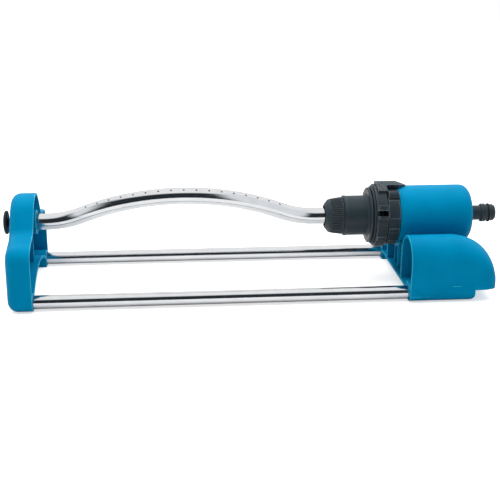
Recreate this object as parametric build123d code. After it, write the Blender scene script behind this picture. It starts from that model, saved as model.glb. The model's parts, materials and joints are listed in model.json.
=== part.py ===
from build123d import *
import math
import os

# Oscillating lawn sprinkler, millimetres.  X runs along the spray tube towards the hose, Y is the
# depth (front is -Y), Z is up.  The origin is on the ground under the middle of the sprinkler.

# ---------------------------------------------------------------- driving dimensions
AXIS_Z = 66.0            # height of the swing axis
LEAN = 31.0              # the spray tube rests leaning this many degrees towards the front
FIT = 0.05               # radial clearance of a running fit

HALF_DEPTH = 74.5        # outer faces of the feet
RAIL_Y = 63.0
RAIL_Z = 7.4
RAIL_R = 6.35            # half-inch tube
RAIL_WALL = 0.9
RAIL_X = (-228.0, 172.0)

BRACKET_X = (-233.0, -210.0)   # closed face, open rim
SHOULDER_Z = 58.5   # height of the feet's outer corners
BRACKET_WALL = 2.3
BRACKET_SOLE_R = 13.0    # rounding of the closed face towards the ground
ARCH_Y = 54.5            # the gap between the feet: half width, then heights at its sides and middle
ARCH_Z = (9.0, 23.5)
HEAD_R = 28.0
NECK_Y = 36.0            # where the head's tangents meet the shoulders
RIB_ANGLES = (0, 112, 180, 248)
BOSS_R = 11.6

TUBE_R = 8.0
TUBE_WALL = 1.0
TUBE_X = (-222.0, 96.0)
ARCH_START = -201.0
ARCH_RISE = 32.5
ARCH_HALF = 131.0        # start of the arch to its top
CREST_R = 205.0          # bend radius over the top
JET_COUNT = 17
JET_PITCH = 11.82        # measured along X
JET_R = 0.6
FIRST_JET_X = -162.8

NUT_X = (70.0, 87.6)
NUT_R = (16.2, 18.2)     # behind the nose and at the skirt
NUT_FLUTES = 46
SLEEVE_X = (87.9, 112.0)
SLEEVE_R = 20.0
FLANGE_X = (112.0, 117.0)
FLANGE_R = 28.5
NECK_R = 12.0
JOURNAL_R = 9.0
RING_FRONT_X = (117.4, 128.0)
RING_FRONT_R = 30.7
RING_REAR_X = (128.5, 140.4)
RING_REAR_R = 29.0
RING_WALL = 2.5
STOP_R = (19.5, 23.5)    # stop lugs reach from and to these radii
STOP_END_X = 138.2
STOP_ANGLE = 65.0        # stop lugs stand this far each side of the trip lever

COVER_X = (141.0, 215.0)
COVER_R = 28.7
COVER_WALL = 2.3
COVER_END_R = 9.0        # rounding of the cover's closed end
CAN_X = (144.7, 212.2)
CAN_R = 26.2
CAN_BORE_R = 24.0
CAP_X = (141.3, 144.7)
BOLT_CIRCLE_R = 21.2
BOLT_ANGLES = (45, 135, 225, 315)
MOTOR_SCREW_X = (149.7, 187.0)

MODULE = 0.55
WHEEL_TEETH = 36
PINION_TEETH = 12
GEAR_SPACING = MODULE * (WHEEL_TEETH + PINION_TEETH) / 2
BACKLASH = 0.16
PIN_R = 1.0
TRIP_OFFSET = 16.0       # trip shaft above the swing axis
TRIP_R = 1.25
TRIP_LEAN = -12.0        # the trip lever rests this far over centre
JET_ARM = 8.0            # the jets' distance from the trip shaft
CRANK = 3.4              # length of the crank that the toggle spring pushes

SPIGOT_BORE_R = 5.0
SPIGOT_SHAFT_R = 7.3
SPIGOT_COLLAR_R = 9.1
SPIGOT_LAND_R = 8.3
SPIGOT_END_X = 241.6

BASE_X = (142.5, 225.3)
GROUND_END_X = 205.0     # the base stands on the ground up to here
STEP_Z = 11.5
SOLE_R = 8.5             # rounding of the feet's lower outer edges
HOOD_Y = 52.2            # middle of a hood
HOOD_HALF = 22.3
HOOD_TOP = 60.0
HOOD_FLOOR = 8.0
HOOD_FLAT_X = 182.0      # the roof starts to fall here
HOOD_END_TOP = 26.0
HOOD_WALL = 2.4
HOOD_NARROWING = 5.0     # each side of the hood's end
SADDLE_R = COVER_R + 0.15

AXIS_PLANE = Plane(origin=(0, 0, AXIS_Z), x_dir=(1, 0, 0), z_dir=(0, -1, 0))
AXIS_LINE = Axis((0, 0, AXIS_Z), (1, 0, 0))


# ---------------------------------------------------------------- shape helpers
def across(x):
    """Plane square to X at x, with local x along Y and local y along Z."""
    return Plane(origin=(x, 0, 0), x_dir=(0, 1, 0), z_dir=(1, 0, 0))


def rod(x0, x1, r, y=0.0, z=0.0):
    """Round rod along X, y and z counted from the swing axis."""
    return extrude(across(x0) * Pos(y, AXIS_Z + z) * Circle(r), amount=x1 - x0)


def pipe(x0, x1, r_out, r_in, y=0.0, z=0.0):
    return rod(x0, x1, r_out, y, z) - rod(x0, x1, r_in, y, z)


def lathe(*points):
    """Solid of revolution about the swing axis from (x, radius) points."""
    profile = make_face(Polyline(*points, close=True))
    return revolve(AXIS_PLANE * profile, AXIS_LINE, 360)


def block(x0, x1, y0, y1, z0, z1):
    middle = Pos((x0 + x1) / 2, (y0 + y1) / 2, (z0 + z1) / 2)
    return middle * Box(x1 - x0, y1 - y0, z1 - z0)


def about_axis(shape, angle):
    """Turn a shape about the swing axis; a positive angle leans its top to the front."""
    return shape.rotate(AXIS_LINE, angle)


def around(shape, angles):
    return [about_axis(shape, a) for a in angles]


def save(name, shape):
    export_step(shape, f"parts/{name}.step")


# ---------------------------------------------------------------- gears
def involute(angle):
    return math.tan(angle) - angle


def gear_face(teeth, first_tooth):
    """Stub-tooth spur gear outline; first_tooth is the direction of one tooth, in degrees."""
    pitch_r = MODULE * teeth / 2
    base_r = pitch_r * math.cos(math.radians(20))
    root_r = pitch_r - 1.1 * MODULE
    tip_r = pitch_r + 0.8 * MODULE
    half_tooth = math.pi / (2 * teeth) - BACKLASH / (4 * pitch_r)

    def half_angle(r):
        pressure = math.acos(min(1.0, base_r / r))
        return half_tooth + involute(math.radians(20)) - involute(pressure)

    radii = [root_r] + [max(root_r, base_r) + (tip_r - max(root_r, base_r)) * k / 3 for k in range(4)]
    if root_r >= base_r:
        radii = radii[1:]
    points = []
    for tooth in range(teeth):
        centre = math.radians(first_tooth) + 2 * math.pi * tooth / teeth
        for side, run in ((-1, radii), (1, radii[::-1])):
            for r in run:
                a = centre + side * half_angle(r)
                points.append((r * math.cos(a), r * math.sin(a)))
    return make_face(Polyline(*points, close=True))


def gear(teeth, x0, x1, offset_z, first_tooth):
    face = across(x0) * Pos(0, AXIS_Z + offset_z) * gear_face(teeth, first_tooth)
    return extrude(face, amount=x1 - x0)


def centre_cluster(wheel_x, pinion_x):
    """Wheel and pinion moulded in one on the centre pin, each with a tooth pointing down."""
    body = gear(WHEEL_TEETH, *wheel_x, 0, -90) + gear(PINION_TEETH, *pinion_x, 0, -90)
    return body - rod(wheel_x[0] - 20, wheel_x[1] + 20, PIN_R + FIT)


def offset_cluster(wheel_x, pinion_x):
    """Wheel and pinion on the offset pin, each with a gap facing the centre pin."""
    body = gear(WHEEL_TEETH, *wheel_x, -GEAR_SPACING, 90 + 180 / WHEEL_TEETH)
    body += gear(PINION_TEETH, *pinion_x, -GEAR_SPACING, 90 + 180 / PINION_TEETH)
    return body - rod(wheel_x[0] - 20, wheel_x[1] + 20, PIN_R + FIT, 0, -GEAR_SPACING)


# ---------------------------------------------------------------- left end bracket
def bracket_outline():
    """Round head on two square-shouldered feet, with an arched gap between the feet."""
    head_apex = AXIS_Z + HEAD_R / math.sin(math.acos(HEAD_R / NECK_Y))
    outer = [(-60, 0), (-HALF_DEPTH, 0), (-HALF_DEPTH + 1, SHOULDER_Z), (-NECK_Y, AXIS_Z), (0, head_apex)]
    outer += [(-y, z) for y, z in reversed(outer[:-1])]
    shoulder = FilletPolyline(*outer, radius=(SOLE_R, 16, 14, HEAD_R, 14, 16, SOLE_R))
    right_foot = Polyline((60, 0), (ARCH_Y, 0), (ARCH_Y, ARCH_Z[0]))
    gap = ThreePointArc((ARCH_Y, ARCH_Z[0]), (0, ARCH_Z[1]), (-ARCH_Y, ARCH_Z[0]))
    left_foot = Polyline((-ARCH_Y, ARCH_Z[0]), (-ARCH_Y, 0), (-60, 0))
    return make_face([*shoulder.edges(), *right_foot.edges(), gap, *left_foot.edges()])


def dish(face, x0, x1, round_r, sole_r, sole):
    """Extrude an outline from its closed face to its rim, with the closed face's edge rounded."""
    body = extrude(across(x0) * face, amount=x1 - x0)
    rounded = [
        e for e in body.edges().filter_by_position(Axis.X, x0 - 0.01, x0 + 0.01)
        if e.center().Z > sole + 26 or abs(e.center().Y) > 60 and e.length > 25
    ]
    body = fillet(rounded, round_r)
    corner = block(x0 - 1, x0 + sole_r, -100, 100, sole - 1, sole + sole_r)
    corner -= Pos(x0 + sole_r, 0, sole + sole_r) * Rot(90, 0, 0) * Cylinder(sole_r, 300)
    return body - corner


def end_bracket():
    x0, x1 = BRACKET_X
    outline = bracket_outline()
    shell = dish(outline, x0, x1, 9, BRACKET_SOLE_R, 0)
    inner = offset(outline, amount=-BRACKET_WALL, kind=Kind.INTERSECTION).face()
    hollow = dish(inner, x0 + BRACKET_WALL, x1 + 1, 6.7, BRACKET_SOLE_R - BRACKET_WALL, BRACKET_WALL)
    body = shell - hollow

    inside = shell & block(x0 + 1, x1, -100, 100, 0, 100)
    extras = [rod(x0 + 1, x1, BOSS_R)]
    for angle in RIB_ANGLES:
        rib = block(x0 + 1, x1 - 5, -0.9, 0.9, AXIS_Z + BOSS_R - 1, AXIS_Z + 60)
        extras.append(about_axis(rib, angle))
    for side in (-1, 1):
        socket = across(x0 + 1) * Pos(side * RAIL_Y, RAIL_Z) * Circle(RAIL_R + BRACKET_WALL)
        extras.append(extrude(socket, amount=x1 - x0 - 1))
    for extra in extras:
        body += extra & inside
    for side in (-1, 1):
        body -= extrude(across(RAIL_X[0]) * Pos(side * RAIL_Y, RAIL_Z) * Circle(RAIL_R), amount=60)
        body -= Pos(-219, side * RAIL_Y, 0) * Cylinder(1.9, 12)
    body -= rod(x0 - 1, x1 + 1, TUBE_R - 0.5)
    body -= rod(-227, x1 + 1, 10.0)
    return body


def pivot_bush():
    return pipe(-227, -211, 10, TUBE_R + FIT)


# ---------------------------------------------------------------- rails
def rail(side):
    centre = Pos(side * RAIL_Y, RAIL_Z)
    length = RAIL_X[1] - RAIL_X[0]
    wall = Circle(RAIL_R) - Circle(RAIL_R - RAIL_WALL)
    body = extrude(across(RAIL_X[0]) * centre * wall, amount=length)
    for x in (-219, 163):
        body -= Pos(x, side * RAIL_Y, 0) * Cylinder(1.5, 14)
    return body


def rail_screws():
    """Self-tapping screws, driven up into the rails from below."""
    screws = []
    for x in (-219, 163):
        for side in (-1, 1):
            shank = Pos(x, side * RAIL_Y, 3.2) * Cylinder(1.45, 5.2)
            head = Pos(x, side * RAIL_Y, 0.45) * (Cylinder(1.85, 0.7) - Box(3, 0.5, 0.4))
            screws.append(head + shank)
    return Compound(screws)


# ---------------------------------------------------------------- base under the motor
def hood_section(x, top, half, floor):
    """Arch: straight sides with a half-ellipse roof."""
    side_z = floor + (top - floor) * 0.577
    roof = EllipticalCenterArc((0, side_z), half, top - side_z, 0, arc_size=180)
    walls = Polyline((-half, side_z), (-half, floor), (half, floor), (half, side_z))
    return across(x) * make_face([roof, *walls.edges()])


def hood_solid(inset):
    """Arched hood: straight first, then the roof falls in a quarter ellipse and the plan narrows."""
    floor = HOOD_FLOOR + inset
    fall = BASE_X[1] - inset - HOOD_FLAT_X
    sections = []
    for angle in range(0, 91, 15):
        turn = math.radians(angle)
        x = HOOD_FLAT_X + fall * math.sin(turn)
        top = HOOD_END_TOP + (HOOD_TOP - HOOD_END_TOP) * math.cos(turn) - inset
        half = HOOD_HALF - inset - HOOD_NARROWING * math.sin(turn) ** 8
        sections.append(hood_section(x, top, half, floor))
    straight = hood_section(BASE_X[0] - inset, HOOD_TOP - inset, HOOD_HALF - inset, floor)
    return extrude(straight, amount=HOOD_FLAT_X - BASE_X[0] + inset) + loft(sections)


def foot_block():
    """Solid foot along the outside of a hood; the rail goes into its end."""
    x0, x1 = BASE_X[0], GROUND_END_X
    body = block(x0, x1, -HALF_DEPTH, -54.0, 0, 16)
    lower_edge = body.edges().filter_by(Axis.X).sort_by(lambda e: e.center().Y + e.center().Z)[0]
    body = fillet(lower_edge, SOLE_R)
    corner = block(x1 - 7, x1 + 1, -80, -50, -1, 7)
    corner -= Pos(x1 - 7, 0, 7) * Rot(90, 0, 0) * Cylinder(7, 200)
    return body - corner


def socket_swell():
    """Slight swelling of the foot around the rail socket, fading away towards the rear."""
    x0 = BASE_X[0]
    length = 26.0
    middle = Pos(-RAIL_Y, RAIL_Z + 1)
    swell = loft([across(x0) * middle * Circle(12.1), across(x0 + length) * middle * Circle(11.2)])
    return swell & block(x0, x0 + length, -80, -66, 6, 30)


def half_base():
    """Front hood, foot and lip."""
    outer = Pos(0, -HOOD_Y, 0) * hood_solid(0)
    inner = Pos(0, -HOOD_Y, 0) * hood_solid(HOOD_WALL)
    outer -= block(GROUND_END_X, 230, -80, 0, 0, STEP_Z)
    outer -= block(BASE_X[0] - 1, 230, -80, -HALF_DEPTH + SOLE_R, -1, SOLE_R) - foot_block()
    floor_step = block(GROUND_END_X - HOOD_WALL, 222, -80, 0, 0, STEP_Z + HOOD_WALL)
    return outer + foot_block() + socket_swell() - (inner - foot_block() - floor_step)


def motor_base():
    front = half_base()
    body = front + mirror(front, Plane.XZ)
    x0, x1 = BASE_X[0], GROUND_END_X
    outline = [(-31, HOOD_FLOOR), (-31, 33), (-27, 36), (-20, 43.5)]
    outline += [(-y, z) for y, z in reversed(outline)]
    middle = extrude(across(x0) * make_face(Polyline(*outline, close=True)), amount=x1 - x0)
    cavity = middle & block(x0, x1 - HOOD_WALL, -29, 29, HOOD_FLOOR + HOOD_WALL, 60)
    cavity -= rod(x0, x1, SADDLE_R + HOOD_WALL)
    ribs = [block(x, x + 2, -30, 30, HOOD_FLOOR, 60) for x in (154, 176)]
    ribs += [block(x0 + 4, x1, y - 1, y + 1, HOOD_FLOOR, 60) for y in (-14, 14)]
    cavity = cavity - ribs
    body += middle - cavity
    body -= rod(x0 - 1, 230, SADDLE_R)
    for side in (-1, 1):
        body -= extrude(across(120) * Pos(side * RAIL_Y, RAIL_Z) * Circle(RAIL_R), amount=RAIL_X[1] - 120)
        body -= Pos(163, side * RAIL_Y, 0) * Cylinder(1.9, 12)
    for x in MOTOR_SCREW_X:
        body += Pos(x, 0, (HOOD_FLOOR + 37.4) / 2) * Cylinder(4, 37.4 - HOOD_FLOOR) - rod(x0, 230, SADDLE_R)
        body -= Pos(x, 0, 30) * Cylinder(1.6, 50)
        body -= Pos(x, 0, 18) * Cylinder(3.2, 26)
    return body


def motor_screws():
    screws = []
    for x in MOTOR_SCREW_X:
        shank = Pos(x, 0, 36.5) * Cylinder(1.45, 13)
        head = Pos(x, 0, 29.5) * (Cylinder(2.9, 2.6) - Pos(0, 0, -1) * Box(4, 0.9, 1.2))
        screws.append(head + shank)
    return Compound(screws)


# ---------------------------------------------------------------- spray tube
def arch_path():
    """Straight ends and three tangent bends, in the swing plane (x, height above the axis)."""
    turn = 2 * math.atan(ARCH_RISE / ARCH_HALF)
    foot_r = ARCH_HALF / math.sin(turn) - CREST_R
    crest_x = ARCH_START + ARCH_HALF
    dx, dz = foot_r * math.sin(turn), foot_r * (1 - math.cos(turn))
    mx, mz = foot_r * math.sin(turn / 2), foot_r * (1 - math.cos(turn / 2))
    end_x = crest_x + ARCH_HALF
    runs = [
        Line((TUBE_X[0], 0), (ARCH_START, 0)),
        ThreePointArc((ARCH_START, 0), (ARCH_START + mx, mz), (ARCH_START + dx, dz)),
        ThreePointArc((ARCH_START + dx, dz), (crest_x, ARCH_RISE), (end_x - dx, dz)),
        ThreePointArc((end_x - dx, dz), (end_x - mx, mz), (end_x, 0)),
        Line((end_x, 0), (TUBE_X[1], 0)),
    ]
    return Wire([AXIS_PLANE * run for run in runs]), crest_x, turn, foot_r


def arch_height(x):
    """Height and slope angle of the tube's centre line at x."""
    _, crest_x, turn, foot_r = arch_path()
    away = abs(x - crest_x)
    if away < CREST_R * math.sin(turn):
        slope = math.asin(away / CREST_R)
        height = ARCH_RISE - CREST_R * (1 - math.cos(slope))
    else:
        slope = math.asin(max(0.0, ARCH_HALF - away) / foot_r)
        height = foot_r * (1 - math.cos(slope))
    return height, math.copysign(slope, x - crest_x)


def spray_tube():
    path = arch_path()[0]
    start = Plane(origin=path @ 0, z_dir=path % 0)
    tube = sweep(start * Circle(TUBE_R), path) - sweep(start * Circle(TUBE_R - TUBE_WALL), path)
    for n in range(JET_COUNT):
        x = FIRST_JET_X + n * JET_PITCH
        height, slope = arch_height(x)
        centre = Pos(x, 0, AXIS_Z + height) * Rot(0, math.degrees(slope), 0)
        tube -= centre * Pos(0, 0, TUBE_R) * Cylinder(JET_R, 6)
    return about_axis(tube, LEAN)


def coupling_nut():
    """Conical nut with a chamfered nose, a recessed mouth and a fluted grip band."""
    x0, x1 = NUT_X
    band_x0, band_x1 = x0 + 4.8, x1 - 0.9
    widening = (NUT_R[1] - NUT_R[0]) / (x1 - x0 - 3.6)
    body = lathe(
        (x0 + 1.4, TUBE_R + 0.1), (x0 + 1.4, 10.4), (x0, 10.8), (x0, 11.8), (x0 + 3.6, NUT_R[0]),
        (x1, NUT_R[1]), (x1, 13.1), (x0 + 7, 13.1), (x0 + 4, TUBE_R + 0.1),
    )

    def flutes(x):
        r = NUT_R[0] + widening * (x - x0 - 3.6)
        points = []
        for n in range(NUT_FLUTES):
            for k, height in ((0.0, 0.5), (0.45, 0.5), (0.6, -0.1), (0.9, -0.1)):
                a = 2 * math.pi * (n + k) / NUT_FLUTES
                points.append(((r + height) * math.cos(a), (r + height) * math.sin(a)))
        return across(x) * Pos(0, AXIS_Z) * make_face(Polyline(*points, close=True))

    band = loft([flutes(band_x0), flutes(band_x1)], ruled=True)
    return body + (band - rod(x0, x1 + 1, NUT_R[0] - 1))


def tube_seal():
    return lathe((74.3, TUBE_R), (74.3, 8.6), (77.4, 12.0), (79.6, 12.0), (79.6, TUBE_R))


def output_hub():
    """Threaded nose, sleeve, lipped flange, ring neck and journal, hollow for the water."""
    bore = 6.0
    return lathe(
        (79.8, TUBE_R), (79.8, 12.9), (SLEEVE_X[0], 12.9), (SLEEVE_X[0], SLEEVE_R - 0.6),
        (SLEEVE_X[0] + 0.8, SLEEVE_R), (SLEEVE_X[0] + 2.6, SLEEVE_R), (SLEEVE_X[0] + 2.9, SLEEVE_R - 0.3),
        (SLEEVE_X[1] - 1.5, SLEEVE_R), (SLEEVE_X[1], 21.5), (SLEEVE_X[1], 26.0),
        (112.8, 27.2), (113.8, 27.2), (114.1, 25.9), (114.9, 25.9), (115.2, 28.0), (115.9, FLANGE_R),
        (FLANGE_X[1], FLANGE_R), (FLANGE_X[1], NECK_R), (140.9, NECK_R), (140.9, JOURNAL_R),
        (150.7, JOURNAL_R), (150.7, 7.0), (155.1, 7.0), (155.1, PIN_R + FIT), (153.1, PIN_R + FIT),
        (153.1, 5.6), (150.7, bore), (TUBE_X[1], bore), (TUBE_X[1], TUBE_R),
    )


def hub_with_windows():
    window = block(147.9, 150.3, -2.4, 2.4, AXIS_Z + 3, AXIS_Z + 12)
    hub = output_hub()
    for part in around(window, (0, 90, 180, 270)):
        hub -= part
    return about_axis(hub, LEAN)


def output_gear():
    return gear(WHEEL_TEETH, 150.9, 154.7, 0, -90) - rod(145, 165, 7.0)


# ---------------------------------------------------------------- range rings
def fan(x0, x1, from_angle, to_angle):
    """Wedge about the swing axis between two angles counted from the top towards the front."""
    reach = 80.0
    a0, a1 = math.radians(from_angle), math.radians(to_angle)
    steps = 4
    outline = [(0.0, 0.0)]
    for k in range(steps + 1):
        a = a0 + (a1 - a0) * k / steps
        outline.append((-reach * math.sin(a), reach * math.cos(a)))
    return extrude(across(x0) * Pos(0, AXIS_Z) * make_face(Polyline(*outline, close=True)), amount=x1 - x0)


def arc_block(x0, x1, r0, r1, from_angle, to_angle):
    """Part of a pipe between two angles."""
    return pipe(x0, x1, r1, r0) & fan(x0, x1, from_angle, to_angle)


def stop_lug(x0, angle):
    half = math.degrees(1.5 / STOP_R[1])
    return arc_block(x0, STOP_END_X, *STOP_R, angle - half, angle + half)


def ring_body(x0, x1, r, sleeve_x1):
    """Cup that turns on the hub's neck, open to the rear."""
    bore = NECK_R + FIT
    return lathe(
        (x0, bore), (x0, r - 0.9), (x0 + 0.9, r), (x1 - 0.6, r), (x1, r - 0.6), (x1, r - RING_WALL),
        (x0 + 2.4, r - RING_WALL), (x0 + 2.4, NECK_R + 2.5), (sleeve_x1, NECK_R + 2.5), (sleeve_x1, bore),
    )


def finger_lug():
    """Finger plate on top of the front ring: it laps over the rear ring and tapers to a pointer."""
    x0, x1 = RING_FRONT_X[0] + 2.8, RING_FRONT_X[1] + 1.0
    top, under = RING_FRONT_R + 2.8, RING_REAR_R + 1.1
    grip = arc_block(x0, x1, RING_FRONT_R - 0.6, top, -16, 29)
    for n in range(4):
        grip -= arc_block(x0 + 1.4 + 2.0 * n, x0 + 2.4 + 2.0 * n, top - 0.7, top + 1, 13, 30)
    tip_x = RING_REAR_X[1] + 10.0
    plate = lathe((x1 - 1, under), (x1 - 1, top), (RING_REAR_X[1] + 0.6, top), (tip_x, under - 0.2),
                  (tip_x, under - 0.8), (RING_REAR_X[1] + 0.6, under))
    plate &= fan(x1 - 1, tip_x, -16, 14)
    slant = Polyline((RING_REAR_X[1] - 1, -10), (tip_x + 2, -10), (tip_x + 2, 2), close=True)
    return grip + plate - extrude(Plane.XY.offset(AXIS_Z + 20) * make_face(slant), amount=20)


def ring_front():
    x0, x1 = RING_FRONT_X
    body = ring_body(x0, x1, RING_FRONT_R, 126.7) + finger_lug()
    body -= arc_block(x0 - 1, x1 + 1, RING_FRONT_R - 4, RING_FRONT_R + 4, 66.5, 77.3)
    for from_angle, to_angle in ((57, 66.5), (77.3, 82)):
        body += arc_block(x0 + 2, x1, RING_FRONT_R - 1, RING_FRONT_R + 1.2, from_angle, to_angle)
    for angle in (118, 150, 182, 214, 246, 278, 310):
        body += arc_block(x0 + 1.2, x1 - 0.8, RING_FRONT_R - 1, RING_FRONT_R + 0.8, angle, angle + 10)
    return body + stop_lug(x0 + 2, -STOP_ANGLE + LEAN)


def ring_rear():
    x0, x1 = RING_REAR_X
    body = ring_body(x0, x1, RING_REAR_R, 133.7)
    middle = -STOP_ANGLE + LEAN - 20
    body -= arc_block(x0 - 1, x0 + 3, STOP_R[0] - 0.8, STOP_R[1] + 0.8, middle - 27, middle + 27)
    thumb = rod(x0 + 1.2, x1 - 0.4, 4.6, 0, RING_REAR_R - 0.2) - rod(x0, x1, RING_REAR_R - 1)
    body += about_axis(thumb, 34)
    body += arc_block(x0 + 0.8, x1 - 0.4, RING_REAR_R - 1, RING_REAR_R + 0.7, 46, 82)
    for angle in (102, 134, 166, 198, 230, 262, 294, 326):
        body += arc_block(x0 + 0.8, x1 - 0.6, RING_REAR_R - 1, RING_REAR_R + 0.7, angle, angle + 9)
    return body + stop_lug(x0 + 2, STOP_ANGLE + LEAN)


# ---------------------------------------------------------------- motor housing
def motor_cover():
    """Round cover with a rounded, closed end around the hose connector."""
    x0, x1 = COVER_X
    r, wall = COVER_R, COVER_WALL
    body = lathe((x0, 0), (x0, r), (x1 - 0.8, r), (x1, 0))
    end_rim = body.edges().sort_by(lambda e: abs(e.bounding_box().min.X - (x1 - 0.8)))[0]
    body = fillet(end_rim, COVER_END_R)
    bore, floor_x = r - wall, x1 - 2.7
    body -= lathe((x0 - 1, 0), (x0 - 1, bore), (x1 - 10, bore), (floor_x, bore - 6.8), (floor_x, 0))
    body -= rod(x0, x1 + 2, SPIGOT_SHAFT_R + 0.15)
    for x in MOTOR_SCREW_X:
        body -= Pos(x, 0, AXIS_Z - r) * Cylinder(1.6, 10)
    return body


def gearbox_can():
    """Watertight cup that holds the drive, open towards the front bearing cap."""
    x0, x1 = CAN_X
    end = x1 - 16.5
    body = lathe(
        (x0, CAN_BORE_R), (x0, 24.6), (x0 + 1.3, 24.6), (x0 + 1.3, 25.6), (x0, 25.6), (x0, CAN_R),
        (end, CAN_R),
        (end + 6, 24.5), (x1 - 4, 19), (x1, 11), (x1, SPIGOT_SHAFT_R), (200.7, SPIGOT_SHAFT_R), (200.7, 11.0),
        (x1 - 6.5, 11), (x1 - 7, 18), (end + 6, 22.6), (end, CAN_BORE_R),
    )
    for part in around(rod(x0, x0 + 11, 2.9, 0, BOLT_CIRCLE_R + 0.3), BOLT_ANGLES):
        body += part
    for part in around(rod(x0 - 1, x0 + 9, 1.2, 0, BOLT_CIRCLE_R), BOLT_ANGLES):
        body -= part
    for x in MOTOR_SCREW_X:
        post = Pos(x, 0, AXIS_Z - 22.6) * Cylinder(3.0, 5.2)
        body += post & rod(x0, x1, CAN_R - 0.5)
        body -= Pos(x, 0, AXIS_Z - 24) * Cylinder(1.45, 6)
    return body


def front_bearing_cap():
    x0, x1 = CAP_X
    bore = JOURNAL_R + FIT
    body = lathe(
        (x0, bore), (x0, CAN_R), (x1, CAN_R), (x1, 14.4), (147.7, 14.4), (147.7, 12.05), (144.9, 12.05),
        (144.9, bore),
    )
    for part in around(rod(x0 - 1, 149.7, 1.35, 0, BOLT_CIRCLE_R), BOLT_ANGLES):
        body -= part
    body += rod(x0, 148.7, 3.2, 0, TRIP_OFFSET) - rod(143.7, 154.7, 12.05)
    body += rod(x0, 148.7, 2.4, 0, -GEAR_SPACING) - rod(143.7, 154.7, 12.05)
    body -= rod(x0 - 1, 154.7, TRIP_R + FIT, 0, TRIP_OFFSET)
    return body - rod(143.2, 154.7, PIN_R, 0, -GEAR_SPACING)


def cap_screws():
    screw = rod(140.65, CAP_X[0], 2.2, 0, BOLT_CIRCLE_R) + rod(CAP_X[0], 151.7, 1.15, 0, BOLT_CIRCLE_R)
    screw -= block(140.6, 140.9, -0.3, 0.3, AXIS_Z + BOLT_CIRCLE_R - 1.6, AXIS_Z + BOLT_CIRCLE_R + 1.6)
    return Compound(around(screw, BOLT_ANGLES))


def housing_o_ring():
    return pipe(144.7, 146.0, 25.6, 24.6)


def hub_seal():
    return lathe((145.1, JOURNAL_R + FIT), (145.1, 12.0), (147.6, 12.0), (147.6, 9.9), (146.1, 9.5),
                 (146.1, JOURNAL_R + FIT))


def inner_plate(x0, x1, centre_hole, windows):
    body = rod(x0, x1, CAN_BORE_R - 0.05) - rod(x0, x1, centre_hole)
    body -= rod(x0, x1, TRIP_R + FIT, 0, TRIP_OFFSET)
    body -= rod(x0, x1, PIN_R, 0, -GEAR_SPACING)
    for angle in windows:
        body -= about_axis(rod(x0, x1, 2.6, 0, 17), angle)
    return body


def gear_plate():
    return inner_plate(172.7, 174.7, 3.4, (60, 110, 250, 300))


def jet_plate():
    """Plate with two jets side by side under the diverter flap."""
    body = rod(192.7, 195.7, CAN_BORE_R - 0.05) - rod(192.7, 195.7, PIN_R)
    body -= rod(192.7, 195.7, TRIP_R + FIT, 0, TRIP_OFFSET)
    for angle in (-12, 12):
        away = JET_ARM * math.sin(math.radians(angle))
        body -= rod(192.7, 195.7, 1.2, away, TRIP_OFFSET - JET_ARM * math.cos(math.radians(angle)))
    return body


def center_pin():
    return rod(153.2, 195.7, PIN_R)


def offset_pin():
    return rod(143.2, 174.7, PIN_R, 0, -GEAR_SPACING)


def turbine():
    """Straight-bladed rotor that runs either way, with its pinion."""
    body = gear(PINION_TEETH, 165.7, 170.1, 0, -90) + rod(170.1, 188.7, 3.0) + rod(178.7, 180.1, 13.4)
    blade = block(179.7, 188.2, -0.6, 0.6, AXIS_Z + 2, AXIS_Z + 13.2)
    for part in around(blade, range(0, 360, 30)):
        body += part
    return body - rod(154.7, 194.7, PIN_R + FIT)


# ---------------------------------------------------------------- reversing gear
def over_centre(shape):
    pivot = Axis((0, 0, AXIS_Z + TRIP_OFFSET), (1, 0, 0))
    return shape.rotate(pivot, TRIP_LEAN)


def trip_shaft():
    return rod(134.9, 203.3, TRIP_R, 0, TRIP_OFFSET)


def trip_lever():
    pivot_z = AXIS_Z + TRIP_OFFSET
    finger = block(134.9, 138.9, -1.1, 1.1, pivot_z, pivot_z + 7.8)
    body = rod(134.9, 139.5, 2.5, 0, TRIP_OFFSET) + finger - rod(134.7, 140.7, TRIP_R, 0, TRIP_OFFSET)
    return over_centre(body)


def diverter_flap():
    """Flap that shuts one jet or the other, with the crank for the toggle spring."""
    pivot_z = AXIS_Z + TRIP_OFFSET
    x0, x1 = 196.0, 198.3
    body = rod(x0, 200.5, 2.6, 0, TRIP_OFFSET)
    body += block(x0, x1, -1.4, 1.4, pivot_z - JET_ARM, pivot_z)
    body += rod(x0, x1, 2.1, 0, TRIP_OFFSET - JET_ARM)
    body += block(198.7, 200.3, -0.7, 0.7, pivot_z, pivot_z + CRANK)
    return over_centre(body - rod(x0, 201.7, TRIP_R, 0, TRIP_OFFSET))


def toggle_spring():
    """Bowed wire between the crank and the wall of the can."""
    wire_r = 0.3
    lean = math.radians(TRIP_LEAN)
    reach = CRANK + 0.75
    x = 199.5
    low = (x, -reach * math.sin(lean), AXIS_Z + TRIP_OFFSET + reach * math.cos(lean))
    bow = ThreePointArc(low, (x, 2.0, AXIS_Z + 20.9), (x, 0.6, AXIS_Z + 21.7))
    return sweep(Plane(origin=bow @ 0, z_dir=bow % 0) * Circle(wire_r), bow)


# ---------------------------------------------------------------- hose connector
def inlet_spigot():
    """Quick-connector tail: shaft, collar, ring groove and tapered nose, screwed into the can."""
    end = SPIGOT_END_X
    land = SPIGOT_LAND_R
    return lathe(
        (200.7, SPIGOT_BORE_R), (200.7, SPIGOT_SHAFT_R), (227.8, SPIGOT_SHAFT_R), (227.8, SPIGOT_COLLAR_R),
        (231.8, SPIGOT_COLLAR_R), (232.2, land), (234.0, land), (234.0, 6.9), (236.8, 6.9), (236.8, land),
        (239.6, land), (end, 7.2), (end, SPIGOT_BORE_R),
    )


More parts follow.
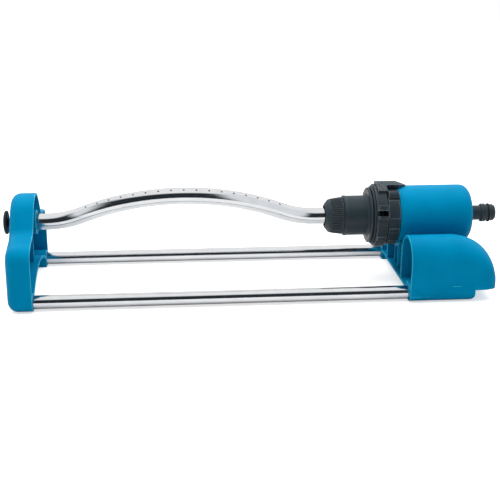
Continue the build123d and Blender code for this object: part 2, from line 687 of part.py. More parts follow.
def spigot_o_ring():
    wire_r = 1.2
    circle = AXIS_PLANE * Pos(235.4, 6.9 + wire_r) * Circle(wire_r)
    return revolve(circle, AXIS_LINE, 360)


def inlet_filter():
    body = lathe((222.0, 0), (222.0, 4.5), (238.0, 4.5), (238.0, SPIGOT_BORE_R), (239.2, SPIGOT_BORE_R),
                 (239.2, 3.8), (223.0, 3.8), (223.0, 0))
    slot = block(224.5, 227.3, -1.2, 1.2, AXIS_Z + 3, AXIS_Z + 5)
    for column in range(3):
        for part in around(Pos(column * 4.3, 0, 0) * slot, range(0, 360, 60)):
            body -= part
    return body


# ---------------------------------------------------------------- flushing plug
def end_plug():
    """Mushroom knob on a thin stem, with a stopper that seals the end of the spray tube."""
    body = lathe(
        (-241.6, 0), (-241.6, 7.4), (-240.9, 10.2), (-239.6, 11.4), (-238.2, 11.4), (-237.4, 10.8),
        (-237.4, 4.5), (-222.0, 4.5), (-222.0, 6.9), (-218.6, 6.9), (-218.6, 5.5), (-216.4, 5.5),
        (-216.4, 6.9), (-213.5, 6.4), (-213.5, 0),
    )
    return body


def plug_o_ring():
    return lathe((-218.4, 5.5), (-218.4, 6.9), (-216.6, 6.9), (-216.6, 5.5))


# ---------------------------------------------------------------- write every piece
PARTS = {
    "end_bracket": end_bracket,
    "pivot_bush": pivot_bush,
    "front_rail": lambda: rail(-1),
    "rear_rail": lambda: rail(1),
    "rail_screws": rail_screws,
    "motor_base": motor_base,
    "motor_screws": motor_screws,
    "motor_cover": motor_cover,
    "gearbox_can": gearbox_can,
    "front_bearing_cap": front_bearing_cap,
    "cap_screws": cap_screws,
    "housing_o_ring": housing_o_ring,
    "hub_seal": hub_seal,
    "gear_plate": gear_plate,
    "jet_plate": jet_plate,
    "center_pin": center_pin,
    "offset_pin": offset_pin,
    "turbine": turbine,
    "gear_1": lambda: offset_cluster((166.2, 169.7), (160.9, 166.2)),
    "gear_2": lambda: centre_cluster((161.2, 164.7), (155.9, 161.2)),
    "gear_3": lambda: offset_cluster((156.2, 159.7), (150.8, 156.2)),
    "output_gear": output_gear,
    "output_hub": hub_with_windows,
    "spray_tube": spray_tube,
    "coupling_nut": coupling_nut,
    "tube_seal": tube_seal,
    "ring_front": ring_front,
    "ring_rear": ring_rear,
    "trip_shaft": trip_shaft,
    "trip_lever": trip_lever,
    "diverter_flap": diverter_flap,
    "toggle_spring": toggle_spring,
    "inlet_spigot": inlet_spigot,
    "spigot_o_ring": spigot_o_ring,
    "inlet_filter": inlet_filter,
    "end_plug": end_plug,
    "plug_o_ring": plug_o_ring,
}

if __name__ == "__main__":
    os.makedirs("parts", exist_ok=True)
    for name, make in PARTS.items():
        save(name, make())
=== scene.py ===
import json
import math

import bmesh
import bpy
from mathutils import Matrix, Vector
from mathutils.kdtree import KDTree


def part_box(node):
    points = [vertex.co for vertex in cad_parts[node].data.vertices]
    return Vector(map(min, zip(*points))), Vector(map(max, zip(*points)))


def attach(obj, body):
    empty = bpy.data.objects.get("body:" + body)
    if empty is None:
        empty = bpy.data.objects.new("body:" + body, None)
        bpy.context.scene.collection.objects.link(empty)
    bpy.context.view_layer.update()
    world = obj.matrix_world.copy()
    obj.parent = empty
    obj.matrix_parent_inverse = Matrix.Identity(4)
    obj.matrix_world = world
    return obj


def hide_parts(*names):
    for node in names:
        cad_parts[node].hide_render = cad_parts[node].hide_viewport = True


# Oscillating lawn sprinkler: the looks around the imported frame.  X runs along the spray tube towards
# the hose, the front is -Y.  Shapes are worked out in millimetres, and MM turns them into metres.
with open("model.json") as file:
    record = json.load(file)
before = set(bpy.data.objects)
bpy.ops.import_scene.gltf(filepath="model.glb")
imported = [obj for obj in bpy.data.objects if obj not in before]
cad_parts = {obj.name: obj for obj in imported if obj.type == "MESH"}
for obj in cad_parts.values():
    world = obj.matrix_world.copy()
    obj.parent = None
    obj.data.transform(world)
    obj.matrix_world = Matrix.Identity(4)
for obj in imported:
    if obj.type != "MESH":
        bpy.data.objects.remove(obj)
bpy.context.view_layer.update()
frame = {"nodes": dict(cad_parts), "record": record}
MM = 0.001
SLOT_OF = {part["node"]: part["material_slot"] for part in frame["record"]["subparts"]}
BODY_OF = {node: body for body, nodes in frame["record"]["behaviour"]["bodies"].items() for node in nodes}


# ---------------------------------------------------------------- camera
LOOK_AT = (-0.0034, 0.0, 0.0321)
DISTANCE = 1.0034
AZIMUTH = 5.14           # degrees from +Y towards +X
ELEVATION = 18.62
ROLL = 0.28
LENS = 72.7


def link(thing):
    bpy.context.scene.collection.objects.link(thing)
    return thing


def make_camera():
    data = bpy.data.cameras.new("camera")
    data.lens = LENS
    data.sensor_width = 36.0
    data.dof.use_dof = False
    camera = link(bpy.data.objects.new("camera", data))
    az, el = math.radians(AZIMUTH), math.radians(ELEVATION)
    look = Vector((math.sin(az) * math.cos(el), math.cos(az) * math.cos(el), -math.sin(el)))
    camera.location = Vector(LOOK_AT) - look * DISTANCE
    roll = Matrix.Rotation(math.radians(ROLL), 4, "Z").to_quaternion()
    camera.rotation_euler = (look.to_track_quat("-Z", "Y") @ roll).to_euler()
    bpy.context.scene.camera = camera


# ---------------------------------------------------------------- node wiring
class Wiring:
    """Short ways to add and link nodes in one node tree."""

    def __init__(self, tree):
        self.nodes = tree.nodes
        self.links = tree.links

    def add(self, kind, **settings):
        node = self.nodes.new("ShaderNode" + kind)
        for setting, value in settings.items():
            setattr(node, setting, value)
        return node

    def between(self, factor, low, high, start=0.3, end=0.7):
        """Numbers from low to high as the factor goes from start to end."""
        spread = self.add("MapRange")
        spread.inputs["From Min"].default_value = start
        spread.inputs["From Max"].default_value = end
        spread.inputs["To Min"].default_value = low
        spread.inputs["To Max"].default_value = high
        self.links.new(factor, spread.inputs["Value"])
        return spread.outputs["Result"]

    def mix(self, factor, first, second):
        """Colour between two colours; either may be a socket."""
        blend = self.add("Mix", data_type="RGBA")
        self.links.new(factor, blend.inputs[0])
        for slot, value in ((6, first), (7, second)):
            if isinstance(value, tuple):
                blend.inputs[slot].default_value = (*value, 1)
            else:
                self.links.new(value, blend.inputs[slot])
        return blend.outputs[2]

    def combine(self, operation, first, second):
        sums = self.add("Math", operation=operation)
        self.links.new(first, sums.inputs[0])
        self.links.new(second, sums.inputs[1])
        return sums.outputs["Value"]


# ---------------------------------------------------------------- materials
EDGE_WIDTH = 0.65 * MM           # how far the painted edge highlight reaches in from an edge
EDGE_MATCH = (0.88, 0.994)       # how well the rounded and true normals agree on an edge, and on a face
GROOVE_REACH = 4                 # how far a groove is felt for, in edge widths
HIGHLIGHT_OPENNESS = (0.3, 0.65)      # openness at which the painted edge highlight starts, and at which it is full
PAINTED_SHADE_OPENNESS = (0.2, 0.85)    # openness at which the painted groove shade is darkest, and at which it ends
RAY_SAMPLES = 6


class Look(Wiring):
    """A principled material; the sockets given hold the same value all over."""

    def __init__(self, name, **sockets):
        self.material = bpy.data.materials.new(name)
        self.material.use_nodes = True
        super().__init__(self.material.node_tree)
        self.shader = self.nodes["Principled BSDF"]
        for socket, value in sockets.items():
            self.shader.inputs[socket.replace("_", " ")].default_value = value
        self.coords = self.add("TexCoord")

    def set(self, socket, value):
        self.links.new(value, self.shader.inputs[socket])

    def noise(self, scale, detail, stretch=(1, 1, 1)):
        """Noise in object space, so many cells to the metre; stretch thins it along an axis."""
        mapping = self.add("Mapping")
        mapping.inputs["Scale"].default_value = stretch
        self.links.new(self.coords.outputs["Object"], mapping.inputs["Vector"])
        texture = self.add("TexNoise")
        texture.inputs["Scale"].default_value = scale
        texture.inputs["Detail"].default_value = detail
        self.links.new(mapping.outputs["Vector"], texture.inputs["Vector"])
        return texture.outputs["Fac"]

    def patches(self, scale, first, second):
        """Colour that drifts between two colours."""
        return self.mix(self.between(self.noise(scale, 2), 0, 1), first, second)

    def openness(self):
        """0 deep in a groove, 1 on an open face."""
        open_air = self.add("AmbientOcclusion", samples=RAY_SAMPLES)
        open_air.inputs["Distance"].default_value = GROOVE_REACH * EDGE_WIDTH
        return open_air.outputs["AO"]

    def edges(self, share):
        """0 on flat faces, up to the share on an edge."""
        soft = self.add("Bevel", samples=RAY_SAMPLES)
        soft.inputs["Radius"].default_value = EDGE_WIDTH
        geometry = self.add("NewGeometry")
        match = self.add("VectorMath", operation="DOT_PRODUCT")
        self.links.new(soft.outputs["Normal"], match.inputs[0])
        self.links.new(geometry.outputs["Normal"], match.inputs[1])
        return self.between(match.outputs["Value"], share, 0, *EDGE_MATCH)

    def bump(self, height, distance, strength):
        relief = self.add("Bump")
        relief.inputs["Strength"].default_value = strength
        relief.inputs["Distance"].default_value = distance * MM
        self.links.new(height, relief.inputs["Height"])
        self.links.new(relief.outputs["Normal"], self.shader.inputs["Normal"])


def shade(color, factor):
    return tuple(min(1.0, channel * factor) for channel in color)


def moulded_plastic(name, color, roughness, painted_edge_highlight, painted_highlight_share, painted_groove_shade, **sockets):
    """Moulded plastic: slightly uneven tone, eggshell grain, painted shade in grooves, painted highlights on
    edges.
    """
    look = Look(name, **sockets)
    tone = look.patches(38, shade(color, 0.93), shade(color, 1.07))
    openness = look.openness()
    # Painted shade: the colour is darkened in grooves and corners, wherever ambient occlusion finds little
    # open air.
    tone_with_painted_shade = look.mix(look.between(openness, 0, 1, *PAINTED_SHADE_OPENNESS), shade(color, painted_groove_shade), tone)
    # Painted highlight: open edges are turned towards a lighter colour that stands in for the gloss on
    # rounded edges.
    painted_highlight_mask = look.combine("MULTIPLY", look.edges(painted_highlight_share), look.between(openness, 0, 1, *HIGHLIGHT_OPENNESS))
    look.set("Base Color", look.mix(painted_highlight_mask, tone_with_painted_shade, painted_edge_highlight))
    look.set("Roughness", look.between(look.noise(140, 4), roughness * 0.85, roughness * 1.2))
    look.bump(look.noise(2600, 2), 0.05, 0.22)
    return look.material


def polished_aluminium():
    """Drawn tube, polished: fine lengthwise lines and a faint haze."""
    look = Look("polished_aluminium", Metallic=1.0)
    lines = look.noise(900, 3, (0.02, 1, 1))
    look.set("Roughness", look.between(lines, 0.07, 0.15))
    look.set("Base Color", look.patches(60, (0.69, 0.70, 0.72), (0.75, 0.76, 0.77)))
    look.bump(lines, 0.004, 0.35)
    return look.material


def bright_steel():
    """Drawn wire and screws: lengthwise lines and a fine grain."""
    look = Look("steel", Base_Color=(0.5, 0.5, 0.5, 1), Metallic=1.0)
    look.set("Roughness", look.between(look.noise(700, 3, (0.05, 1, 1)), 0.2, 0.38))
    look.bump(look.noise(1800, 2), 0.01, 0.3)
    return look.material


def rubber():
    look = Look("black_rubber", Base_Color=(0.012, 0.012, 0.013, 1))
    look.set("Roughness", look.between(look.noise(300, 3), 0.36, 0.6))
    look.bump(look.noise(1900, 3), 0.04, 0.3)
    return look.material


# In each plastic below, the edge colour is a painted highlight and the groove factor is painted shade.
LOOKS = {
    "blue_plastic": moulded_plastic(
        "blue_plastic", (0.0, 0.245, 0.465), 0.40, painted_edge_highlight=(0.06, 0.80, 1.0), painted_highlight_share=1.0,
        painted_groove_shade=0.75, Specular_IOR_Level=0.04, Specular_Tint=(0.05, 0.7, 1.0, 1.0)),
    "dark_plastic": moulded_plastic(
        "dark_plastic", (0.019, 0.034, 0.043), 0.38, painted_edge_highlight=(0.32, 0.36, 0.38), painted_highlight_share=1.0,
        painted_groove_shade=0.2, Specular_IOR_Level=0.28),
    "black_plastic": moulded_plastic(
        "black_plastic", (0.011, 0.014, 0.016), 0.46, painted_edge_highlight=(0.07, 0.075, 0.08), painted_highlight_share=0.5,
        painted_groove_shade=0.5, Specular_IOR_Level=0.40),
    "white_acetal": moulded_plastic(
        "white_acetal", (0.74, 0.73, 0.69), 0.42, painted_edge_highlight=(0.86, 0.85, 0.82), painted_highlight_share=0.4,
        painted_groove_shade=0.8),
    "black_rubber": rubber(),
    "polished_aluminium": polished_aluminium(),
    "steel": bright_steel(),
}


# ---------------------------------------------------------------- places from the frame
def span(node):
    """A node's reach along X, in millimetres."""
    low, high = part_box(node)
    return low[0] / MM, high[0] / MM


def middle(node):
    """Middle of a node's box across X: (y, z) in millimetres."""
    low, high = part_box(node)
    return (low[1] + high[1]) / 2 / MM, (low[2] + high[2]) / 2 / MM


def outer_r(node):
    """Radius of a round node that lies along X, in millimetres."""
    low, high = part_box(node)
    return (high[2] - low[2]) / 2 / MM


AXIS = middle("motor_cover")      # (y, z) of the swing axis


# ---------------------------------------------------------------- mesh helpers
CORNER_SHARE = 0.45      # most of a side that one rounded corner may take
CURVE = (0.0, 0.3, 0.7, 1.0)     # places along a rounded corner
FLAT_ANGLE = 0.6         # degrees: faces this close to level become one
HARD_ANGLE = 34          # degrees: edges sharper than this are rounded


def steps(start, end, count):
    """Evenly spaced numbers from start to end, both included."""
    return [start + (end - start) * k / count for k in range(count + 1)]


def smooth(mesh):
    mesh.polygons.foreach_set("use_smooth", [True] * len(mesh.polygons))


def finished(build, name):
    """Turn a bmesh into a smooth-shaded mesh."""
    mesh = bpy.data.meshes.new(name)
    build.to_mesh(mesh)
    build.free()
    smooth(mesh)
    return mesh


def bridge(build, first, second):
    """Band of faces between two rings of vertices."""
    count = len(first)
    for k in range(count):
        n = (k + 1) % count
        build.faces.new((first[k], first[n], second[n], second[k]))


def add_piece(name, mesh, node):
    """Put a finished mesh in the scene in place of a node, with the node's finish and body."""
    mesh.materials.clear()
    mesh.materials.append(LOOKS[SLOT_OF[node]])
    piece = link(bpy.data.objects.new(name, mesh))
    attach(piece, BODY_OF[node])
    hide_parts(node)
    return piece


def even_normals(piece):
    """Keep flat faces flat next to their rounded edges."""
    weighted = piece.modifiers.new("even normals", "WEIGHTED_NORMAL")
    weighted.mode = "FACE_AREA"
    weighted.keep_sharp = False


def rounded(points, radius):
    """Closed (x, r) outline with every corner off the axis turned into a small curve."""
    outline = []
    count = len(points)
    for index in range(count):
        before, corner, after = (Vector(points[(index + k) % count]) for k in (-1, 0, 1))
        if corner.y < 1e-6:
            outline.append(corner)
            continue
        back, onward = before - corner, after - corner
        cut = min(radius, CORNER_SHARE * back.length, CORNER_SHARE * onward.length)
        start, end = corner + back.normalized() * cut, corner + onward.normalized() * cut
        for t in CURVE:
            outline.append(start * (1 - t) ** 2 + corner * 2 * t * (1 - t) + end * t * t)
    return outline


def turned(name, node, outline, radius, segments, centre=AXIS, relief=None):
    """Turned part about an axis along X; relief(x, r, angle) may add to the radius."""
    y, z = centre
    build = bmesh.new()
    rings = []
    for x, r in rounded(outline, radius):
        ring = []
        for k in range(segments):
            angle = 2 * math.pi * k / segments
            far = r + (relief(x, r, angle) if relief else 0.0)
            place = (x * MM, (y + far * math.sin(angle)) * MM, (z + far * math.cos(angle)) * MM)
            ring.append(build.verts.new(place))
        rings.append(ring)
    for first, second in zip(rings, rings[1:] + rings[:1]):
        bridge(build, first, second)
    bmesh.ops.remove_doubles(build, verts=build.verts, dist=1e-6)
    bmesh.ops.dissolve_degenerate(build, edges=build.edges, dist=1e-7)
    bmesh.ops.recalc_face_normals(build, faces=build.faces)
    even_normals(add_piece(name, finished(build, name), node))


def softened(node, width):
    """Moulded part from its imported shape, with every hard edge rounded by a real bevel."""
    build = bmesh.new()
    build.from_mesh(frame["nodes"][node].data)
    bmesh.ops.remove_doubles(build, verts=build.verts, dist=2e-6)
    flat = math.radians(FLAT_ANGLE)
    bmesh.ops.dissolve_limit(build, angle_limit=flat, verts=build.verts, edges=build.edges)
    bmesh.ops.recalc_face_normals(build, faces=build.faces)
    name = node + "_moulded"
    piece = add_piece(name, finished(build, name), node)
    bevel = piece.modifiers.new("rounded edges", "BEVEL")
    bevel.width = width * MM
    bevel.segments = 2
    bevel.limit_method = "ANGLE"
    bevel.angle_limit = math.radians(HARD_ANGLE)
    bevel.use_clamp_overlap = True
    even_normals(piece)


# ---------------------------------------------------------------- spray tube and rails
TUBE_R = 7.985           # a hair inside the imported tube
TUBE_WALL = 1.0
TUBE_SIDES = 112
TUBE_STEPS = 212
NORMAL_STEPS = 3000      # centre line for the exact normals
ARCH_START = -201.0
ARCH_RISE = 32.5
ARCH_HALF = 131.0        # start of the arch to its top
CREST_R = 205.0          # bend radius over the top
TUBE_LEAN = 31.0         # degrees towards the front
RAIL_WALL = 0.9
JET_COUNT = 17
JET_PITCH = 11.64        # along the tube
MIDDLE_JET = 9           # counted from 0 at the left
MIDDLE_JET_X = -57.0
JET_R = 0.9
DRILL_LENGTH = 5.0       # half of it outside the tube


def tube_arch(x):
    """Height of the tube's centre line above the axis, and its slope angle."""
    turn = 2 * math.atan(ARCH_RISE / ARCH_HALF)
    foot_r = ARCH_HALF / math.sin(turn) - CREST_R
    crest_x = ARCH_START + ARCH_HALF
    away = abs(x - crest_x)
    if away < CREST_R * math.sin(turn):
        slope = math.asin(away / CREST_R)
        height = ARCH_RISE - CREST_R * (1 - math.cos(slope))
    else:
        slope = math.asin(max(0.0, ARCH_HALF - away) / foot_r)
        height = foot_r * (1 - math.cos(slope))
    return height, math.copysign(slope, crest_x - x)


def tube_place(x):
    """Centre in metres, and the tube's run and up direction at x, leaning in its swing plane."""
    height, slope = tube_arch(x)
    lean = math.radians(TUBE_LEAN)
    along = Vector((1, 0, 0))
    lift = Vector((0, -math.sin(lean), math.cos(lean)))
    centre = Vector((x, *AXIS)) + lift * height
    run = along * math.cos(slope) + lift * math.sin(slope)
    up = lift * math.cos(slope) - along * math.sin(slope)
    return centre * MM, run, up


def tube_blank(places):
    """Hollow tube through the places, closed at both ends, before it is drilled."""
    build = bmesh.new()
    turns = [2 * math.pi * k / TUBE_SIDES for k in range(TUBE_SIDES)]
    walls = []
    for r in (TUBE_R, TUBE_R - TUBE_WALL):
        rings = []
        for centre, run, up in places:
            side = run.cross(up)
            points = [centre + (up * math.cos(a) + side * math.sin(a)) * r * MM for a in turns]
            rings.append([build.verts.new(point) for point in points])
        walls.append(rings)
    for rings in walls:
        for first, second in zip(rings, rings[1:]):
            bridge(build, first, second)
    outer, inner = walls
    for end in (0, -1):
        bridge(build, outer[end], inner[end])
    bmesh.ops.recalc_face_normals(build, faces=build.faces)
    return link(bpy.data.objects.new("tube_blank", finished(build, "tube_blank")))


def jet_x(jet):
    """Where a jet lies along X when all are evenly spaced along the bent tube."""
    x = MIDDLE_JET_X
    pitch = math.copysign(JET_PITCH, jet - MIDDLE_JET)
    for _ in range(abs(jet - MIDDLE_JET)):
        x += pitch * math.cos(tube_arch(x + pitch / 2)[1])
    return x


def jet_drills():
    """The cylinders that the jets are drilled with, each square to the tube."""
    build = bmesh.new()
    for jet in range(JET_COUNT):
        centre, _, up = tube_place(jet_x(jet))
        turn = up.to_track_quat("Z", "Y").to_matrix().to_4x4()
        place = Matrix.Translation(centre + up * TUBE_R * MM) @ turn
        bmesh.ops.create_cone(build, cap_ends=True, segments=20, radius1=JET_R * MM, radius2=JET_R * MM,
                              depth=DRILL_LENGTH * MM, matrix=place)
    return link(bpy.data.objects.new("jet_drills", finished(build, "jet_drills")))


def true_normals(mesh, places):
    """Give the outer wall the exact normals of a round tube, whatever its faces are."""
    tree = KDTree(len(places))
    for index, place in enumerate(places):
        tree.insert(place[0], index)
    tree.balance()
    normals = []
    for face in mesh.polygons:
        for vertex in face.vertices:
            point = mesh.vertices[vertex].co
            centre, index, _ = tree.find(point)
            run = places[index][1]
            out = point - centre
            out -= run * out.dot(run)
            near_wall = abs(out.length - TUBE_R * MM) < 0.03 * MM
            faces_out = face.normal.dot(out.normalized()) > 0.9
            normals.append(out.normalized() if near_wall and faces_out else face.normal)
    mesh.normals_split_custom_set(normals)


def spray_tube():
    x0, x1 = span("spray_tube")
    tube = tube_blank([tube_place(x) for x in steps(x0, x1, TUBE_STEPS)])
    drills = jet_drills()
    drilling = tube.modifiers.new("jets", "BOOLEAN")
    drilling.operation = "DIFFERENCE"
    drilling.solver = "EXACT"
    drilling.object = drills
    bpy.context.view_layer.update()
    mesh = bpy.data.meshes.new_from_object(tube.evaluated_get(bpy.context.evaluated_depsgraph_get()))
    for thing in (tube, drills):
        bpy.data.objects.remove(thing)
    smooth(mesh)
    true_normals(mesh, [tube_place(x) for x in steps(x0, x1, NORMAL_STEPS)])
    add_piece("spray_tube_polished", mesh, "spray_tube")


def rail(node):
    x0, x1 = span(node)
    r = outer_r(node)
    outline = [(x0, r), (x1, r), (x1, r - RAIL_WALL), (x0, r - RAIL_WALL)]
    turned(node + "_polished", node, outline, 0.25, 96, middle(node))


# ---------------------------------------------------------------- nut, hub and cover
NUT_R = (16.2, 18.2)     # behind the nose and at the skirt
NUT_RIBS = 56
NUT_STEPS = 26           # along the ribs
RIB_HEIGHT = 0.45        # either side of their middle
RIB_FLAT = 0.6           # part of a wave's height at which it is cut off flat
RIB_SINK = 0.05          # how far the ribs' middle lies below the cone
HUB_COLLAR_R = 12.9      # inside the nut
HUB_SLEEVE_R = 20.0
HUB_STEP_R = 19.6        # the sleeve behind its lip
HUB_FLANGE_X = 112.0
HUB_NECK_R = 12.0        # under the range rings
HUB_NECK_END = 140.9
HUB_JOURNAL_R = 9.0
HUB_JOURNAL_END = 150.7
HUB_SHAFT_R = 7.0
HUB_BORE = (96.0, 6.0)   # where the water way starts, and its radius
HUB_BORE_END = (153.1, 5.6)
HUB_PIN_R = 1.1          # hole for the gear pin
TUBE_FIT_R = 8.05        # bore that takes the spray tube
COVER_WALL = 2.3
COVER_END_R = 9.0        # rounding of the closed end
COVER_HOLE_R = 7.45      # for the spigot


def coupling_nut():
    """Cone with a recessed mouth, a rounded nose and a band of grip ribs."""
    x0, x1 = span("coupling_nut")
    nose = x0 + 3.6
    band = (x0 + 4.8, x1 - 0.9)
    widening = (NUT_R[1] - NUT_R[0]) / (x1 - nose)
    mouth = [(x0 + 2.2, 8.3), (x0 + 2.2, 10.4), (x0, 10.7), (x0, 11.8), (nose, NUT_R[0])]
    flank = [(x, NUT_R[0] + widening * (x - nose)) for x in steps(*band, NUT_STEPS)]
    inside = [(x1, NUT_R[1]), (x1, 13.1), (x0 + 7, 13.1), (x0 + 4, 8.3)]

    def rib(x, r, angle):
        if r < NUT_R[0] - 1 or not band[0] < x < band[1]:
            return 0.0
        run_out = min(1.0, (x - band[0]) / 0.8, (band[1] - x) / 0.5)
        wave = max(-RIB_FLAT, min(RIB_FLAT, math.cos(NUT_RIBS * angle)))
        return run_out * (RIB_HEIGHT * wave / RIB_FLAT - RIB_SINK)

    turned("coupling_nut_ribbed", "coupling_nut", mouth + flank + inside, 0.35, NUT_RIBS * 10, relief=rib)


def output_hub():
    """Collar in the nut, sleeve with a lip, grooved flange, neck of the rings, journal and hollow shaft."""
    x0, x1 = span("output_hub")
    sleeve = span("coupling_nut")[1] + 0.3
    flange = HUB_FLANGE_X
    flange_r = outer_r("output_hub")
    flange_end = span("ring_front")[0] - 0.4
    outline = [(x0, TUBE_FIT_R), (x0, HUB_COLLAR_R), (sleeve, HUB_COLLAR_R)]
    outline += [(sleeve, HUB_SLEEVE_R - 0.5), (sleeve + 0.6, HUB_SLEEVE_R), (sleeve + 2.5, HUB_SLEEVE_R),
                (sleeve + 2.8, HUB_STEP_R), (flange - 1.5, HUB_STEP_R)]
    outline += [(flange, 21.5), (flange, 26.0), (flange + 0.8, 27.3), (flange + 1.8, 27.3)]
    outline += [(flange + 2.1, 25.6), (flange + 2.9, 25.6), (flange + 3.2, 28.0), (flange + 3.9, flange_r)]
    outline += [(flange_end, flange_r), (flange_end, HUB_NECK_R), (HUB_NECK_END, HUB_NECK_R),
                (HUB_NECK_END, HUB_JOURNAL_R), (HUB_JOURNAL_END, HUB_JOURNAL_R)]
    outline += [(HUB_JOURNAL_END, HUB_SHAFT_R), (x1, HUB_SHAFT_R), (x1, HUB_PIN_R)]
    outline += [(HUB_BORE_END[0], HUB_PIN_R), HUB_BORE_END]
    outline += [(HUB_JOURNAL_END, HUB_BORE[1]), HUB_BORE, (HUB_BORE[0], TUBE_FIT_R)]
    turned("output_hub_moulded", "output_hub", outline, 0.3, 160)


def motor_cover():
    """Round can, its closed end turned over in a quarter circle."""
    x0, x1 = span("motor_cover")
    r = outer_r("motor_cover")
    inner_r = r - COVER_WALL
    corner_x = x1 - 0.6 - COVER_END_R
    corner_r = r - COVER_END_R
    quarter = [math.radians(a) for a in range(0, 91, 6)]
    outline = [(x0, inner_r), (x0, r)]
    outline += [(corner_x + COVER_END_R * math.sin(a), corner_r + COVER_END_R * math.cos(a)) for a in quarter]
    outline += [(x1, COVER_HOLE_R + 1.0), (x1, COVER_HOLE_R), (x1 - 2.7, COVER_HOLE_R)]
    outline += [(x1 - 2.7, inner_r - 6.8), (x1 - 10, inner_r)]
    turned("motor_cover_moulded", "motor_cover", outline, 0.45, 192)


# ---------------------------------------------------------------- connector and flushing plug
SPIGOT_R = 7.3
SPIGOT_BORE_R = 5.0
SPIGOT_COLLAR = (227.8, 231.8, 9.1)      # start, end, radius
SPIGOT_GROOVE = (234.0, 236.8, 6.9)      # of the O-ring
SPIGOT_LAND_R = 8.3
SPIGOT_TIP = (239.6, 7.2)                # start of its taper, and the radius it ends with
KNOB_R = 11.4
DOME_FULLNESS = 0.8                      # 1 would be a round dome, less is flatter on top
PLUG_STEM_R = 4.5
STOPPER_R = 6.9                          # inside the spray tube
STOPPER_TIP_R = 6.4
PLUG_X = (-222.0, -218.6, -216.4)        # face of the stopper, and its O-ring groove
PLUG_GROOVE_R = 5.5


def inlet_spigot():
    x0, x1 = span("inlet_spigot")
    collar, collar_end, collar_r = SPIGOT_COLLAR
    groove, groove_end, groove_r = SPIGOT_GROOVE
    outline = [(x0, SPIGOT_BORE_R), (x0, SPIGOT_R), (collar, SPIGOT_R), (collar, collar_r)]
    outline += [(collar_end, collar_r), (collar_end + 0.5, SPIGOT_LAND_R), (groove, SPIGOT_LAND_R)]
    outline += [(groove, groove_r), (groove_end, groove_r), (groove_end, SPIGOT_LAND_R)]
    outline += [(SPIGOT_TIP[0], SPIGOT_LAND_R), (x1, SPIGOT_TIP[1]), (x1, SPIGOT_BORE_R)]
    turned("inlet_spigot_moulded", "inlet_spigot", outline, 0.35, 160)


def spigot_o_ring():
    x0, x1 = span("spigot_o_ring")
    wire_r = (x1 - x0) / 2
    ring_r = outer_r("spigot_o_ring") - wire_r
    turns = [2 * math.pi * k / 28 for k in range(28)]
    outline = [(x0 + wire_r + wire_r * math.cos(a), ring_r + wire_r * math.sin(a)) for a in turns]
    turned("spigot_o_ring_round", "spigot_o_ring", outline, 0.02, 128)


def end_plug():
    """Domed knob with a rolled edge, its stem and the stopper inside the tube."""
    x0, x1 = span("end_plug")
    rim_x = x0 + 2.2
    head_back = x0 + 4.2
    face, groove, groove_end = PLUG_X
    quarter = [math.radians(a) for a in range(0, 91, 7)]
    outline = [(rim_x - (rim_x - x0) * math.cos(a), KNOB_R * math.sin(a) ** DOME_FULLNESS) for a in quarter]
    outline += [(head_back - 0.6, KNOB_R), (head_back, KNOB_R - 0.8), (head_back, PLUG_STEM_R)]
    outline += [(face, PLUG_STEM_R), (face, STOPPER_R), (groove, STOPPER_R), (groove, PLUG_GROOVE_R)]
    outline += [(groove_end, PLUG_GROOVE_R), (groove_end, STOPPER_R), (x1, STOPPER_TIP_R), (x1, 0.0)]
    turned("end_plug_domed", "end_plug", outline, 0.3, 128)


# ---------------------------------------------------------------- studio
SKY = 1.3                # strength of the studio walls as light
SKY_MIRRORED = 1.04      # and as seen in the metal
PAPER_WHITE = 0.55       # lift of the table top in the picture, which keeps its shadows pale
DARK = 0.03              # the unlit room behind the camera
FRONT_STOPS = ((0.0, DARK), (0.75, DARK), (0.88, 1.0), (1.0, 1.0))      # (height, brightness)
BACK_STOPS = ((0.0, 0.10), (0.12, 0.25), (0.30, 1.0), (1.0, 1.0))
DARK_FROM = (-0.74, -0.58)               # where the dark side fades out along X, at its left
DARK_TO = (0.28, 0.42)                   # and at its right
SIDE_WALL = (0.86, 0.88, 0.9)
BACK_FADE = 0.15                         # half width along Y of the change from front to back
TABLE_HALF = 1.5
TABLE_MIDDLE_Y = 0.95


def by_height(wiring, height, stops):
    """Brightness by height; the dark is slightly blue."""
    ramp = wiring.add("ValToRGB")
    wiring.links.new(height, ramp.inputs["Fac"])
    elements = ramp.color_ramp.elements
    while len(elements) < len(stops):
        elements.new(0.5)
    for element, (place, value) in zip(elements, stops):
        element.position = place
        tint = (0.8, 1.0, 1.2) if value == DARK else (1.0, 1.0, 1.0)
        element.color = (*shade(tint, value), 1)
    return ramp.outputs["Color"]


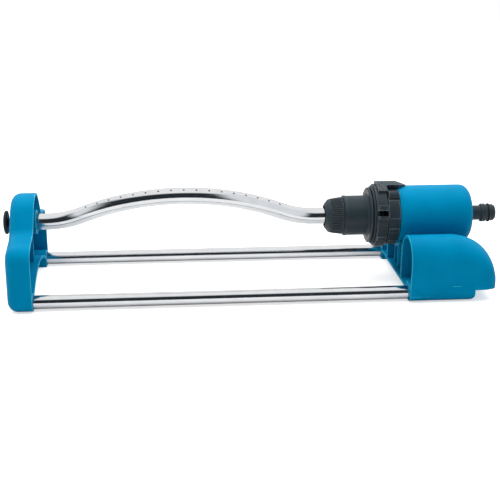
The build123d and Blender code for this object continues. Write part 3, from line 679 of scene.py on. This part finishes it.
def make_world():
    """Pale studio: bright above and behind; a dark side behind the camera, which the metal mirrors."""
    world = bpy.data.worlds.new("studio")
    bpy.context.scene.world = world
    world.use_nodes = True
    world.node_tree.nodes.clear()
    wiring = Wiring(world.node_tree)
    path = wiring.add("LightPath").outputs
    split = wiring.add("SeparateXYZ")
    wiring.links.new(wiring.add("TexCoord").outputs["Generated"], split.inputs["Vector"])
    x, y, z = split.outputs

    walls = wiring.combine("MAXIMUM", wiring.between(x, 1, 0, *DARK_FROM), wiring.between(x, 0, 1, *DARK_TO))
    walls_mirrored = wiring.combine("MULTIPLY", walls, path["Is Glossy Ray"])
    front = wiring.mix(walls_mirrored, by_height(wiring, z, FRONT_STOPS), SIDE_WALL)
    back = by_height(wiring, z, BACK_STOPS)

    studio = wiring.add("Background")
    behind = wiring.between(y, 0, 1, -BACK_FADE, BACK_FADE)
    wiring.links.new(wiring.mix(behind, front, back), studio.inputs["Color"])
    strength = wiring.between(path["Is Glossy Ray"], SKY, SKY_MIRRORED, 0, 1)
    wiring.links.new(strength, studio.inputs["Strength"])
    plain = wiring.add("Background")
    plain.inputs["Color"].default_value = (1, 1, 1, 1)
    choose = wiring.add("MixShader")
    wiring.links.new(path["Is Camera Ray"], choose.inputs["Fac"])
    wiring.links.new(studio.outputs["Background"], choose.inputs[1])
    wiring.links.new(plain.outputs["Background"], choose.inputs[2])
    wiring.links.new(choose.outputs["Shader"], wiring.add("OutputWorld").inputs["Surface"])


def make_floor():
    """White table top; its front edge lies just out of the picture."""
    build = bmesh.new()
    bmesh.ops.create_grid(build, x_segments=2, y_segments=2, size=TABLE_HALF,
                          matrix=Matrix.Translation((0, TABLE_MIDDLE_Y, 0)))
    floor = link(bpy.data.objects.new("floor", finished(build, "floor")))
    look = Look("floor", Roughness=0.85, Specular_IOR_Level=0.0, Emission_Color=(1, 1, 1, 1))
    path = look.add("LightPath").outputs
    look.set("Emission Strength", look.between(path["Is Camera Ray"], 0, PAPER_WHITE, 0, 1))
    look.set("Base Color", look.patches(30, (0.79, 0.79, 0.79), (0.81, 0.81, 0.81)))
    floor.data.materials.append(look.material)


def softbox(name, place, target, size, power):
    """Soft rectangular lamp that the metal doesn't mirror."""
    data = bpy.data.lights.new(name, "AREA")
    data.shape = "RECTANGLE"
    data.size, data.size_y = size
    data.energy = power
    lamp = link(bpy.data.objects.new(name, data))
    lamp.location = place
    lamp.rotation_euler = (Vector(target) - Vector(place)).to_track_quat("-Z", "Y").to_euler()
    lamp.visible_glossy = False


# ---------------------------------------------------------------- put it together
make_camera()
bpy.context.scene.view_settings.view_transform = "Standard"

for node, thing in frame["nodes"].items():
    thing.data.materials.clear()
    thing.data.materials.append(LOOKS[SLOT_OF[node]])

softened("end_bracket", 0.55)
softened("motor_base", 0.55)
softened("ring_front", 0.3)
softened("ring_rear", 0.3)
spray_tube()
rail("front_rail")
rail("rear_rail")
coupling_nut()
output_hub()
motor_cover()
inlet_spigot()
spigot_o_ring()
end_plug()

make_world()
make_floor()
softbox("overhead", place=(0, 0.05, 0.85), target=(0, 0, 0), size=(1.5, 0.7), power=6.5)
softbox("front_fill", place=(-0.3, -1.6, 0.9), target=(0, 0, 0.03), size=(1.6, 1.0), power=6)
